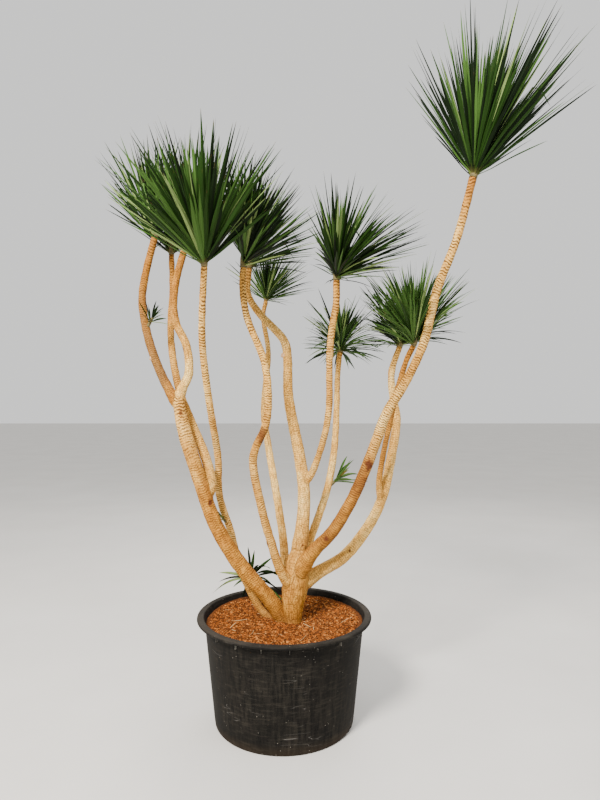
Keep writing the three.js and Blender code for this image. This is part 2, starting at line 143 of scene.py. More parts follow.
# The limbs that grow together as one skin, and how fine that skin is
LEFT = ["left_stem", "left_inner_cane", "left_outer_cane", "left_rear_cane"]
SLIM = ["slim_left_stem"]
CLUMPS = {
    "main_canes": (4.5, [limb for limb in LIMBS if limb not in LEFT + SLIM]),
    "left_canes": (3.6, LEFT),
    "slim_cane": (3.6, SLIM),
}

# Leaf greens, and how many in a hundred leaves of a head have each. The deep green is darkened
# by painted shade, the bright one is lightened by painted light, and the grey one is partly a
# painted highlight
GREENS = {
    "leaf_deep_shaded": (0.0022, 0.0078, 0.0007),
    "leaf_mid": (0.0096, 0.0300, 0.0026),
    "leaf_bright_lit": (0.0430, 0.098, 0.0170),
    "leaf_grey_sheen": (0.185, 0.265, 0.0850),
    "leaf_yellow": (0.280, 0.210, 0.0400),
}
# The shaded mix paints shade on a head and the sunlit mix paints sunlight on it, by their shares of
# dark and light greens
SHADED = [44, 34, 15, 7, 0]
SUNLIT = [33, 31, 25, 11, 0]
FRESH = [12, 36, 40, 12, 0]
LUSH = [4, 26, 52, 18, 0]
YOUNG = [0, 20, 62, 14, 4]
# The newest mix is pale young greens, lightened further with painted light for a shoot in a stem's
# shade
NEWEST_LIT = [0, 5, 60, 15, 20]
AGEING = [42, 34, 14, 7, 3]

# The heads of leaves, one on the tip of each cane: how far its axis tips to +X and +Y, how many
# leaves, the longest leaf, how wide leaves are for that, the angles to the axis of the
# innermost and outermost leaves, how far they arch, a seed, and the mix of greens
HEADS = {
    "left_outer_cane": ((-0.03, 0.05), 150, 500, 0.028, 4, 40, 0.05, 11, AGEING),
    "left_rear_cane": ((-0.06, 0.25), 145, 540, 0.027, 4, 42, 0.05, 12, SHADED),
    "left_inner_cane": ((0.02, 0.0), 145, 560, 0.027, 4, 46, 0.05, 13, SHADED),
    "slim_left_stem": ((-0.06, -0.08), 215, 575, 0.035, 3, 56, 0.05, 14, SUNLIT),
    "front_cane": ((0.08, -0.12), 255, 500, 0.029, 4, 80, 0.10, 15, SHADED),
    "centre_leader": ((0.1, 0.12), 240, 500, 0.027, 4, 74, 0.10, 16, SHADED),
    "rear_cane": ((0.2, 0.15), 200, 310, 0.032, 4, 66, 0.10, 17, FRESH),
    "centre_side_cane": ((0.1, -0.06), 270, 490, 0.026, 4, 80, 0.15, 18, SHADED),
    "right_rear_cane": ((0.05, 0.2), 220, 380, 0.030, 5, 84, 0.30, 19, FRESH),
    "low_right_cane": ((-0.05, 0.15), 240, 420, 0.028, 4, 66, 0.30, 20, SHADED),
    "right_side_cane": ((-0.16, -0.1), 240, 450, 0.028, 4, 50, 0.25, 21, LUSH),
    "tall_right_cane": ((0.2, -0.05), 300, 660, 0.025, 2, 45, 0.03, 22, SHADED),
}

# Young shoots on the sides of canes: the cane, the height on it, the way the shoot points,
# then as for the heads
SHOOTS = {
    "outer_shoot": ("left_outer_cane", 1800, (0.6, -0.4, 0.9), 18, 130, 0.075, 5, 60, 0.2, 31, SHADED),
    "tiny_shoot": ("slim_left_stem", 860, (-0.45, -0.5, 0.75), 14, 72, 0.12, 4, 34, 0.05, 32, NEWEST_LIT),
    "right_shoot": ("right_rear_cane", 1030, (0.8, 0.1, 0.7), 13, 190, 0.085, 6, 55, 0.25, 33, YOUNG),
    "basal_shoot": ("slim_left_stem", 570, (0.2, 0.85, 0.6), 26, 240, 0.075, 8, 88, 0.5, 34, SUNLIT),
}

# Shapes

CURVE_POINTS = 24
SAMPLE_STEP = 0.006
# A direction that no limb starts in
SIDEWAYS = [0.31, 0.95, 0.05]


def unit(v):
    v = np.asarray(v, float)
    return v / norm(v)


def unit_rows(rows):
    return rows / norm(rows, axis=1)[:, None]


def along(values, t):
    """The value at share t of a list of values set evenly along a length."""
    return np.interp(t, np.linspace(0, 1, len(values)), values)


def middle_line(bends):
    """Points on the smooth line through the bends, and the distance along it to each."""
    p = np.array(bends, float) * MM
    p = np.vstack([2 * p[0] - p[1], p, 2 * p[-1] - p[-2]])
    t = np.linspace(0, 1, CURVE_POINTS, endpoint=False)[:, None]
    pieces = [0.5 * (2 * b + (c - a) * t + (2 * a - 5 * b + 4 * c - d) * t ** 2
                     + (3 * b - a - 3 * c + d) * t ** 3)
              for a, b, c, d in zip(p, p[1:], p[2:], p[3:])]
    dense = np.vstack(pieces + [p[-2:-1]])
    run = np.concatenate([[0], np.cumsum(norm(np.diff(dense, axis=0), axis=1))])
    at = np.linspace(0, run[-1], max(2, round(run[-1] / SAMPLE_STEP) + 1))
    return np.column_stack([np.interp(at, run, dense[:, k]) for k in range(3)]), at


def frames_along(points):
    """A direction and two directions across it at each point, without any twist."""
    forward = unit_rows(np.gradient(points, axis=0))
    last = unit(np.cross(forward[0], SIDEWAYS))
    across = []
    for direction in forward:
        last = unit(last - direction * np.dot(last, direction))
        across.append(last)
    return forward, np.array(across), np.cross(forward, across)


def in_scene(name, data):
    made = bpy.data.objects.new(name, data)
    scene.collection.objects.link(made)
    return made


def mesh_object(name, points, faces, *finishes):
    mesh = bpy.data.meshes.new(name)
    mesh.from_pydata(np.asarray(points).tolist(), [], [list(map(int, f)) for f in faces])
    mesh.update()
    mesh.polygons.foreach_set("use_smooth", [True] * len(mesh.polygons))
    for finish in finishes:
        mesh.materials.append(finish)
    return in_scene(name, mesh)


def band(low, high):
    """The faces between two rings of corners. A ring may be one corner again and again."""
    faces = []
    for j in range(len(low)):
        k = (j + 1) % len(low)
        face = list(dict.fromkeys([low[j], low[k], high[k], high[j]]))
        if len(face) > 2:
            faces.append(face)
    return faces


def tube(points, radii, sides):
    """The corners and faces of a closed round tube along the points."""
    _, across, over = frames_along(points)
    angles = np.linspace(0, 2 * pi, sides, endpoint=False)
    ring = (np.cos(angles)[None, :, None] * across[:, None]
            + np.sin(angles)[None, :, None] * over[:, None])
    corners = (points[:, None] + ring * np.asarray(radii)[:, None, None]).reshape(-1, 3)
    rows = [range(start, start + sides) for start in range(0, len(corners), sides)]
    faces = [face for low, high in zip(rows, rows[1:]) for face in band(low, high)]
    return corners, faces + [rows[0][::-1], rows[-1]]


def joined(parts):
    """Several (corners, faces) as one."""
    corners, faces, start = [], [], 0
    for part_corners, part_faces in parts:
        corners.append(part_corners)
        faces += [tuple(i + start for i in face) for face in part_faces]
        start += len(part_corners)
    return np.vstack(corners), faces


def turned(profile, segments):
    """The corners and faces of a closed profile of (radius, height), turned about the tub's
    axis."""
    angles = np.linspace(0, 2 * pi, segments, endpoint=False)
    corners, rows = [], []
    for radius, height in profile:
        start = len(corners)
        if radius == 0:
            rows.append([start] * segments)
            corners.append((0, 0, height))
        else:
            rows.append(range(start, start + segments))
            corners += [(radius * cos(a), radius * sin(a), height) for a in angles]
    return corners, [face for low, high in zip(rows, rows[1:]) for face in band(low, high)]


def applied(obj):
    """The object with its modifiers made part of its mesh."""
    shown = obj.evaluated_get(bpy.context.evaluated_depsgraph_get())
    old, obj.data = obj.data, bpy.data.meshes.new_from_object(shown)
    obj.modifiers.clear()
    bpy.data.meshes.remove(old)
    return obj


def own_piece(obj, slot, *replaced, sharp_from=None):
    if sharp_from:
        obj.data.set_sharp_from_angle(angle=radians(sharp_from))
    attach(obj, "root")
    if replaced:
        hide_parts(*replaced)
    return obj


# Finishes

BLACK = (0, 0, 0)


class Nodes:
    """A node tree whose nodes are made and linked in one call each."""

    def put(self, socket, value):
        if isinstance(value, bpy.types.NodeSocket):
            self.tree.links.new(value, socket)
        elif socket.type == "RGBA" and len(value) == 3:
            socket.default_value = (*value, 1)
        else:
            socket.default_value = value

    def node(self, kind, inputs, **settings):
        """The outputs of a new node."""
        node = self.tree.nodes.new(kind)
        for key, value in settings.items():
            setattr(node, key, value)
        for key, value in inputs.items():
            self.put(node.inputs[key], value)
        return node.outputs

    def sum(self, operation, *values, clamp=False):
        inputs = dict(enumerate(values))
        return self.node("ShaderNodeMath", inputs, operation=operation, use_clamp=clamp)[0]

    def times(self, a, b):
        return self.sum("MULTIPLY", a, b)


class Finish(Nodes):
    """A material on one shader. A pattern's scale is how fine it is to the metre, one number
    for all directions or three."""

    def __init__(self, name):
        self.material = bpy.data.materials.new(name)
        self.material.use_nodes = True
        self.tree = self.material.node_tree

    def done(self, **values):
        """The material, once its shader's sockets have these values."""
        shader = self.tree.nodes["Principled BSDF"]
        for socket, value in values.items():
            self.put(shader.inputs[socket.replace("_", " ")], value)
        return self.material

    def mix(self, share, a, b, blend="MIX"):
        inputs = {0: share, 6: a, 7: b}
        return self.node("ShaderNodeMix", inputs, data_type="RGBA", blend_type=blend)[2]

    def covered(self, colour, colours, **layers):
        """A colour under named layers, each with the share of the surface that it covers."""
        for name, share in layers.items():
            colour = self.mix(share, colour, colours[name])
        return colour

    def ramp(self, value, *stops):
        shade = self.node("ShaderNodeValToRGB", {"Fac": value})[0]
        elements = shade.node.color_ramp.elements
        while len(elements) < len(stops):
            elements.new(0.5)
        for element, (position, colour) in zip(elements, stops):
            element.position = position
            element.color = (*(colour if isinstance(colour, tuple) else (colour,) * 3), 1)
        return shade

    def looked_up(self, place, scale):
        if isinstance(scale, tuple):
            place = self.node("ShaderNodeMapping", {"Vector": place, "Scale": scale})[0]
            scale = 1.0
        return {"Vector": place, "Scale": scale}

    def noise(self, place, scale, detail=3.0, roughness=0.55):
        inputs = {**self.looked_up(place, scale), "Detail": detail, "Roughness": roughness}
        return self.node("ShaderNodeTexNoise", inputs)["Fac"]

    def cells(self, place, scale, feature="F1"):
        inputs = self.looked_up(place, scale)
        return self.node("ShaderNodeTexVoronoi", inputs, feature=feature)["Distance"]

    def own(self, attribute, output="Fac"):
        return self.node("ShaderNodeAttribute", {}, attribute_name=attribute)[output]

    def object(self):
        return self.node("ShaderNodeTexCoord", {})["Object"]

    def parts(self, vector):
        return self.node("ShaderNodeSeparateXYZ", {0: vector})

    def bump(self, height, depth, strength=1.0, **below):
        inputs = {"Height": height, "Distance": depth, "Strength": strength, **below}
        return self.node("ShaderNodeBump", inputs)[0]


# Distance between two rings of leaf scars, and how far they wander up and down
RING_SPACING = 0.0106
RING_WOBBLE = 15.0
MOTTLING = (0.36, 0.50, 0.66)
BARK = dict(
    golden=[(0.36, 0.140, 0.015), (0.50, 0.210, 0.024), (0.66, 0.310, 0.042)],
    pale=[(0.72, 0.380, 0.080), (0.90, 0.535, 0.135), (0.99, 0.700, 0.240)],
    # The dull brown mixed in where a limb's tone is below 0 is painted shade of the leaves
    weathered=(0.15, 0.095, 0.040), russet=(0.46, 0.17, 0.030), furrow=(0.22, 0.090, 0.020),
    scar=(0.105, 0.038, 0.007), speck=(0.10, 0.040, 0.016), stain=(0.105, 0.030, 0.009),
    soil=(0.17, 0.062, 0.018))


def bark_finish():
    """Tan bark with wavy rings of leaf scars, vertical cracks, pale and russet patches, and light and
    shade painted in by its tone.
    """
    f = Finish("cane_bark")
    place = f.own("unbent", "Vector")
    tone, ringed, stain = (f.own(name) for name in ("tone", "ringed", "stain"))
    turns = f.sum("ADD", f.times(f.parts(place)[2], 2 * pi / RING_SPACING),
                  f.times(f.noise(place, (48, 48, 20), 1.5), RING_WOBBLE))
    rings = f.ramp(f.times(f.sum("ADD", f.sum("SINE", turns), 1.0), 0.5),
                   (0.10, 1), (0.34, 0.65), (0.62, 0))
    rings = f.times(rings, f.ramp(f.noise(place, (40, 40, 50), 2.0), (0.36, 0.3), (0.54, 1)))
    cracks = f.ramp(f.cells(place, (95, 95, 30), "DISTANCE_TO_EDGE"),
                    (0, 1), (0.05, 0.3), (0.1, 0))
    smooth, banded = (f.mix(scarred, f.mix(cracked, BLACK, cracks), rings, "LIGHTEN")
                      for scarred, cracked in ((0.25, 0.75), (1.0, 0.2)))
    lines = f.mix(ringed, smooth, banded)
    mottle = f.noise(place, (26, 26, 11), 5.0, 0.6)
    fibres = f.noise(place, (150, 150, 24), 4.0, 0.7)
    golden, pale = (f.ramp(mottle, *zip(MOTTLING, BARK[name])) for name in ("golden", "pale"))
    # Above 0 the tone makes bark pale, partly as painted light where heads and canes cast shadow;
    # below 0 it mixes in painted shade
    paleness_and_light = f.sum("MAXIMUM", tone, 0.0)
    grimy = f.sum("SUBTRACT", 1.0, f.times(paleness_and_light, 0.65))
    specks = f.ramp(f.cells(place, (70, 70, 60)), (0, 1), (0.10, 0.8), (0.15, 0))
    speckled = f.ramp(f.noise(place, (21, 21, 17), 1.0), (0.58, 0), (0.64, 0.8))
    low_down = f.ramp(f.parts(f.object())[2], (0.45, 1), (0.51, 0))
    colour = f.covered(
        f.mix(paleness_and_light, golden, pale), BARK,
        weathered=f.sum("MULTIPLY", tone, -1.0, clamp=True),
        russet=f.times(f.ramp(f.noise(place, (9, 9, 3)), (0.47, 0), (0.68, 0.45)), grimy),
        furrow=f.times(f.ramp(fibres, (0.30, 0.7), (0.52, 0)), grimy),
        scar=f.times(lines, 0.95), speck=f.times(specks, speckled), stain=stain,
        soil=f.times(low_down, mottle))
    relief = f.bump(f.sum("SUBTRACT", 1.0, lines), 0.0030)
    return f.done(Base_Color=colour, Roughness=f.ramp(fibres, (0.3, 0.92), (0.7, 0.7)),
                  Specular_IOR_Level=0.12, Normal=f.bump(fibres, 0.0014, Normal=relief))


LEAF_FOOT, DRY_TIP = (0.13, 0.115, 0.030), (0.12, 0.065, 0.02)


def lightened(green, factor, more=0.0):
    return tuple(min(1.0, factor * c + more) for c in green)


def leaf_finish(name, green):
    """A sword leaf: fine lengthwise veins, a pale midrib and edge, and a dull wax bloom."""
    f = Finish(name)
    across, lengthwise = f.parts(f.own("UVMap", "Vector"))[:2]
    place = f.node("ShaderNodeCombineXYZ", {0: across, 1: lengthwise, 2: f.own("leaf_number")})[0]
    veins = f.noise(place, (46, 1.6, 5), 2.0)
    clouds = f.noise(place, (3, 5, 5))
    off_middle = f.sum("ABSOLUTE", f.sum("SUBTRACT", across, 0.5))
    bloom = lightened(green, 1.5, 0.003)
    colour = f.covered(
        f.ramp(veins, (0.3, lightened(green, 0.62)), (0.5, green), (0.72, bloom)),
        dict(bloom=bloom, rib=lightened(green, 2.1, 0.01), rim=lightened(green, 1.6, 0.012),
             foot=LEAF_FOOT, tip=DRY_TIP),
        bloom=f.ramp(clouds, (0.4, 0), (0.75, 0.5)),
        rib=f.ramp(off_middle, (0, 0.55), (0.035, 0)),
        rim=f.ramp(off_middle, (0.465, 0), (0.49, 0.6)),
        foot=f.ramp(lengthwise, (0, 0.9), (0.05, 0.35), (0.10, 0)),
        tip=f.ramp(lengthwise, (0.955, 0), (0.995, 0.85)))
    return f.done(Base_Color=colour, Roughness=f.ramp(clouds, (0.3, 0.46), (0.7, 0.62)),
                  Specular_IOR_Level=0.08, Normal=f.bump(veins, 0.0005, 0.7))


PLASTIC = [(0.0042, 0.0040, 0.0036), (0.0110, 0.0098, 0.0085)]
# The second colour is the ribs' pale dust, light enough to paint light on them in the lip's shade
TUB_DUST, GUSSET_DUST_AND_LIGHT = (0.038, 0.033, 0.026), (0.15, 0.14, 0.12)
# The settled colour is dust and a painted highlight together, on faces that look up
GRIME = dict(settled=(0.036, 0.031, 0.025), splash=(0.09, 0.058, 0.030),
             speck=(0.22, 0.20, 0.17), scratch=(0.16, 0.15, 0.14))


def tub_finish(name, dust_level, dust_colour):
    """Near-black moulded plastic with dust on it, dried drips, specks and fine scratches, and settled
    dust with a painted highlight on faces that look up.
    """
    f = Finish(name)
    place = f.object()
    broad = f.noise(place, 5.0, 5.0, 0.6)
    grain = f.noise(place, 260.0, 3.0, 0.7)
    drips = f.ramp(f.noise(place, (70, 70, 7), 5.0, 0.65), (0.40, 0), (0.62, 1))
    scuffs = f.ramp(f.noise(place, (16, 16, 110), 4.0, 0.7), (0.50, 0), (0.64, 1))
    dust = f.times(f.ramp(broad, (0.35, 0.15), (0.7, 0.8)), drips)
    dust = f.sum("MULTIPLY", f.sum("ADD", dust, f.times(scuffs, broad)), dust_level, clamp=True)
    upward = f.parts(f.node("ShaderNodeNewGeometry", {})["Normal"])[2]
    specks = f.ramp(f.cells(place, 62.0), (0, 1), (0.085, 0.6), (0.12, 0))
    scrapes = f.sum("ABSOLUTE", f.sum("SUBTRACT", f.noise(place, (5, 5, 42), 0.5), 0.5))
    speckled, scraped = (f.ramp(f.noise(place, scale, detail), (0.56, 0), (0.62, 1))
                         for scale, detail in ((21.0, 1), (9.0, 2.0)))
    scratches = f.times(f.ramp(scrapes, (0, 1), (0.006, 0)), scraped)
    # Faces that look up, the rim's crest most, get settled dust and a painted highlight in one layer
    colour = f.covered(
        f.mix(f.ramp(grain, (0.4, 0), (0.7, 0.5)), *PLASTIC), {**GRIME, "dust": dust_colour},
        dust=dust,
        settled=f.times(f.ramp(upward, (0.2, 0), (0.9, 1)),
                        f.ramp(broad, (0.44, 0.3), (0.60, 0.9))),
        splash=f.times(f.ramp(f.parts(place)[2], (0, 0.35), (0.05, 0)), broad),
        speck=f.times(specks, speckled), scratch=f.times(scratches, 0.5))
    return f.done(Base_Color=colour, Roughness=f.mix(dust, (0.64,) * 3, (0.92,) * 3),
                  Specular_IOR_Level=0.06, Normal=f.bump(grain, 0.0004, 0.6))


def mulch_finish(name, dark, light, fineness):
    f = Finish(name)
    place = f.object()
    crumbs = f.noise(place, fineness, 5.0, 0.7)
    fibres = f.ramp(f.noise(place, (900, 240, 240)), (0.4, 0), (0.7, 0.4))
    colour = f.ramp(crumbs, (0.32, lightened(dark, 0.45)), (0.5, dark), (0.68, light))
    return f.done(Base_Color=f.mix(fibres, colour, light), Roughness=0.95,
                  Specular_IOR_Level=0.05, Normal=f.bump(crumbs, 0.002, 0.9))


CUT_WOOD = [(0.42, 0.22, 0.10), (0.70, 0.46, 0.25)]
SHEATH = [(0.060, 0.046, 0.013), (0.130, 0.100, 0.028), (0.220, 0.165, 0.052)]
FLOOR = [(0.62, 0.60, 0.57), (0.67, 0.65, 0.62)]


def grained_finish(name, roughness, scale, detail, *stops, relief=None):
    """A plain surface with one grain, raised by its relief where that is given."""
    f = Finish(name)
    grain = f.noise(f.object(), scale, detail)
    if relief:
        f.done(Normal=f.bump(grain, relief))
    return f.done(Base_Color=f.ramp(grain, *stops), Roughness=roughness)


# Stems and canes

# How much wider the rings are spaced from the foot of a limb to its tip, where it grew faster
RING_GROWTH = [0.9, 0.95, 1.1, 1.4]
# How much wider a cane is where it leaves its parent, and how far along that fades
FOOT_SWELLING, FOOT_FADE = 0.28, 0.05
LIMB_SIDES = 20
# How strongly and how often the skin is smoothed, everywhere and then within reach of a joint
SKIN_WEIGHT, SKIN_ROUNDS = 0.4, 3
JOINT_WEIGHT, JOINT_ROUNDS, JOINT_REACH = 0.5, 16, 0.018
# The swells and lumps of the bark: how many there are to the metre, and how high they are
RELIEF = [([14, 14, 30], 0.0015), ([45, 45, 90], 0.0008)]
# How far the bark's pattern is shifted from one limb to the next
PATTERN_SHIFT = 3.7
# By how much a stain is narrower than it is tall, each way, how fine its ragged edge is, and how
# deep it is in the middle, how fast that fades outwards and how ragged it is
STAIN_SHAPE, STAIN_EDGE = [1.5, 1.5, 1.0], 90
STAIN_DEPTH, STAIN_FADE, STAIN_RAGGED = 2.0, 1.6, 0.8
# Rings are weak at the foot of a limb, get plainer along it, and are plainest on its last part
FOOT_RINGS, RINGS_GAIN, TIP_RINGS, TIP_PART = 0.4, 2.2, 0.4, 0.25
BATCH = 4000


def limb_samples():
    """For each limb: its points, the distance along it, its radius there and the directions."""
    samples = {}
    for name, (radii, tone, ringed, bends) in LIMBS.items():
        points, run = middle_line(bends)
        share = np.linspace(0, 1, len(points))
        growth = along(RING_GROWTH, share)
        rung = np.concatenate([[0.0], np.cumsum(np.diff(run) / growth[1:])])
        samples[name] = Group(
            points=points, run=run, rung=rung, growth=growth, radius=along(radii, share) * MM,
            tone=tone, ringed=ringed, frames=frames_along(points))
    return samples


def gaps_to(limb, points):
    """The distance from each point to the limb's surface at each of its samples."""
    return norm(points[:, None] - limb.points[None], axis=2) - limb.radius[None]


def swell_feet(samples):
    """Each cane is wider where it leaves its parent, so that it grows out of it smoothly."""
    limbs = list(samples.values())
    for i, own in enumerate(limbs):
        clear_of = np.full(len(own.points), np.inf)
        for other in limbs[:i]:
            clear_of = np.minimum(clear_of, gaps_to(other, own.points).min(axis=1))
        inside = np.nonzero(clear_of[: len(clear_of) // 3] < 0)[0]
        if len(inside):
            away = np.abs(own.run - own.run[inside[-1]])
            own.radius = own.radius * (1 + FOOT_SWELLING * np.exp(-away / FOOT_FADE))


samples = limb_samples()
# The limbs without their swollen feet, thinned out, which leaves keep clear of
LIMB_POINTS = np.vstack([limb.points[::3] for limb in samples.values()])
LIMB_RADII = np.concatenate([limb.radius[::3] for limb in samples.values()])
swell_feet(samples)


def nearest_on_limbs(points, limbs):
    """For each point: the limb it lies on, the nearest sample on it, and how much further the
    next limb's surface is than that limb's."""
    gaps, nearest = [], []
    for limb in limbs:
        found = []
        for part in np.array_split(points, len(points) // BATCH + 1):
            gap = gaps_to(limb, part)
            found.append((gap.min(axis=1), gap.argmin(axis=1)))
        gap, near = map(np.concatenate, zip(*found))
        gaps.append(gap)
        nearest.append(near)
    limb_of = np.argmin(gaps, axis=0)
    sample_of = np.array(nearest)[limb_of, np.arange(len(points))]
    best, second = np.sort(gaps + [np.full(len(points), np.inf)], axis=0)[:2]
    return limb_of, sample_of, second - best


def smoothed(points, edges, weight, rounds):
    """Moves points towards the middle of their neighbours, by their weight."""
    count = np.zeros(len(points))
    np.add.at(count, edges.ravel(), 1)
    for _ in range(rounds):
        total = np.zeros_like(points)
        np.add.at(total, edges[:, 0], points[edges[:, 1]])
        np.add.at(total, edges[:, 1], points[edges[:, 0]])
        points = points + weight[:, None] * (total / count[:, None] - points)
    return points


# Brown stains and old wounds: on which cane, at what height, how long, how dark, from which side
STAINS = [
    ("tall_right_cane", 1180, 30, 1, (0.2, -1, 0)),
    ("tall_right_cane", 1105, 75, 0.5, (0.1, -1, -0.1)),
    ("tall_right_cane", 840, 19, 1, (0, -1, 0.2)),
    ("tall_right_cane", 860, 190, 0.25, (0.3, -1, -0.3)),
    ("low_right_cane", 752, 10, 1, (-0.1, -1, 0.3)),
    ("front_cane", 822, 15, 0.9, (-1, -0.5, 0)),
    ("front_cane", 1305, 42, 0.8, (0.5, -1, 0)),
    ("left_inner_cane", 1700, 13, 0.9, (-1, -0.4, 0)),
    ("centre_leader", 800, 8, 1, (0.3, -1, 0)),
    ("left_stem", 1410, 15, 0.8, (0.2, -1, 0)),
    ("left_stem", 1003, 17, 1, (0.7, -0.9, 0)),
]

# Cut stubs: on which cane, at what height, which way they point, how thick and how long, and
# the change of their thickness from foot to cut
STUBS = [
    ("centre_leader", 1675, (-1, -0.35, 0.15), 11, 12),
    ("left_outer_cane", 1655, (-1, -0.25, 0.3), 10, 9),
]
STUB_WIDTHS = np.array([1.1, 1.1, 1.15, 1.0, 0.9])
STUB_SIDES = 14


def sample_at(limb, height):
    """The number of the limb's sample that is nearest to a height in millimetres."""
    return np.abs(limb.points[:, 2] - height * MM).argmin()


def stub(cane, height, towards, radius, length):
    """A short cut side shoot, from the middle of its cane out through the bark."""
    limb = samples[cane]
    reach = along(LIMBS[cane][0], 0.9) * MM + length * MM
    run = np.linspace(0, reach, len(STUB_WIDTHS))[:, None]
    points = limb.points[sample_at(limb, height)] + run * unit(towards)
    return tube(points, STUB_WIDTHS * radius * MM, STUB_SIDES)


def speckle(places):
    """Smooth noise at each of many places."""
    return np.array([noise.noise(Vector(p)) for p in places])


def read_all(items, name, width, kind=float):
    """One property of all of a mesh's corners or edges, a row each."""
    values = np.empty(len(items) * width, kind)
    items.foreach_get(name, values)
    return values.reshape(-1, width)


def give(mesh, **attributes):
    """Gives each corner of a mesh a number or a vector under each name."""
    for name, values in attributes.items():
        kind, field = ("FLOAT", "value") if values.ndim == 1 else ("FLOAT_VECTOR", "vector")
        mesh.attributes.new(name, kind, "POINT").data.foreach_set(field, values.ravel())


def stained(limb_name, limb, points):
    """How deeply each of the points on a limb is stained."""
    stain = np.zeros(len(points))
    for cane, height, length, strength, side in STAINS:
        if cane == limb_name:
            at = sample_at(limb, height)
            middle = limb.points[at] + unit(side) * limb.radius[at]
            reach = norm((points - middle) * STAIN_SHAPE, axis=1) / (length * MM)
            ragged = STAIN_RAGGED * speckle(points * STAIN_EDGE)
            depth = np.clip(STAIN_DEPTH - STAIN_FADE * reach + ragged, 0, 1)
            stain = np.maximum(stain, strength * depth)
    return stain


def clump(name, voxel, limb_names, finish):
    """Limbs that grow together, as one skin with soft joints and the relief of the bark."""
    limbs = [samples[limb] for limb in limb_names]
    tubes = [tube(limb.points, limb.radius, LIMB_SIDES) for limb in limbs]
    skin = mesh_object(name, *joined(tubes), finish)
    remesh = skin.modifiers.new("skin", "REMESH")
    remesh.mode = "VOXEL"
    remesh.voxel_size = voxel * MM
    remesh.use_smooth_shade = True
    mesh = applied(skin).data
    points = read_all(mesh.vertices, "co", 3)
    edges = read_all(mesh.edges, "vertices", 2, int)
    limb_of, sample_of, margin = nearest_on_limbs(points, limbs)
    weight = JOINT_WEIGHT * np.clip(1 - margin / JOINT_REACH, 0.0, 1.0)
    points = smoothed(points, edges, np.full(len(points), SKIN_WEIGHT), SKIN_ROUNDS)
    points = smoothed(points, edges, weight, JOINT_ROUNDS)

    unbent, out = np.zeros((2, *points.shape))
    tone, ringed, stain = np.zeros((3, len(points)))
    for index, (limb_name, limb) in enumerate(zip(limb_names, limbs)):
        mine = np.nonzero(limb_of == index)[0]
        near = sample_of[mine]
        offset = points[mine] - limb.points[near]
        forward, across, over = (axis[near] for axis in limb.frames)
        slip, unbent[mine, 0], unbent[mine, 1] = (
            (offset * axis).sum(axis=1) for axis in (forward, across, over))
        unbent[mine, 2] = limb.rung[near] + slip / limb.growth[near] + PATTERN_SHIFT * index
        share = limb.run[near] / limb.run[-1]
        tone[mine] = along(limb.tone, share)
        old = np.clip(FOOT_RINGS + RINGS_GAIN * share, 0, 1)
        young = np.clip(share - (1 - TIP_PART), 0, TIP_PART) / TIP_PART
        ringed[mine] = np.clip(limb.ringed * old + TIP_RINGS * young, 0, 1)
        flat = offset - forward * slip[:, None]
        out[mine] = flat / np.maximum(norm(flat, axis=1), 1e-6)[:, None]
        stain[mine] = stained(limb_name, limb, points[mine])
    relief = sum(height * speckle(unbent * fineness) for fineness, height in RELIEF)
    mesh.vertices.foreach_set("co", (points + out * relief[:, None]).ravel())
    give(mesh, unbent=unbent, tone=tone, ringed=ringed, stain=stain)
    mesh.update()
    return own_piece(skin, "bark", *limb_names)


# Leaves

# Where the rings of corners are along a leaf, how wide and how folded it is there, and how far
# it stands off the stalk, which it clasps at its foot
BLADE_AT = np.array([0, 0.03, 0.07, 0.13, 0.22, 0.34, 0.47, 0.60, 0.72, 0.83, 0.92, 1])
BLADE_WIDTH = np.interp(BLADE_AT, [0, 0.04, 0.12, 0.28, 0.42, 0.55, 0.68, 0.8, 0.92, 1],
                        [1.1, 0.70, 0.58, 0.90, 1, 0.95, 0.77, 0.53, 0.25, 0.02])
BLADE_FOLD = np.interp(BLADE_AT, [0, 0.15, 0.4, 1], [0.9, 0.6, 0.48, 0.22])
CLASP = np.interp(BLADE_AT, [0, 0.04, 0.10, 0.2], [0, 0.55, 0.9, 1])[:, None]
# The corners of a ring, as places across the leaf: its edges and two sides of the midrib
RING_ACROSS = [0.0, 0.5, 1.0, 0.5]
# A leaf's thickness for its width, and the least
THICKNESS, THINNEST = 0.035, 0.00012
ARCH_START = 0.36
FOLDED_TIP = 0.9
KEEL_ANGLE = 32
LEAF_SHIFT = 0.37
GOLDEN_ANGLE = pi * (3 - sqrt(5))

# How much leaves differ in their turn, their lean in degrees, length, width, sway and twist,
# and how many have a folded tip, from where on
TURN, LEAN, SHORTER, SLIMMEST, WIDER = 0.2, 10, 0.42, 0.64, 0.62
SWAY, TWIST, KINKED, KINK_FROM, KINK_WITHIN = 0.05, 2.4, 0.012, 0.55, 0.25
# Where on the stalk's radius leaves are rooted. How much shorter leaves are away from the fullest
# part of the head, and the wave that this follows. How wide the outermost leaves are and how much
# less the innermost. How far each one arches for its head's arch, and what is added to that
ROOTED_AT = 0.8
LESS_FULL, WAVE, WAVE_START = 0.3, 2.4, 0.6
OUTER_WIDTH, INNER_LESS = 1.05, 0.35
LEAST_ARCH, MORE_ARCH, OWN_ARCH = 0.4, 1.5, 0.04

# How near leaves come to a limb, and how far they go past their node's box and into the next
# head
CLEAR_OF_LIMBS = 0.003
BEYOND_SOLID = 0.022
INTO_NEXT = 0.10

# The stalks that leaves stand on. A head's length goes with its reach
HEAD_STALK = Group(length=0.17, swelling=[1, 1.05, 0.6], rooted=(0.0, 0.97))
SHOOT_STALK = Group(length=50, swelling=[1, 1, 0.7], rooted=(0.55, 0.97), radius=8)
STALK_SIDES, STALK_RINGS, STALK_SAMPLES = 14, 12, 24


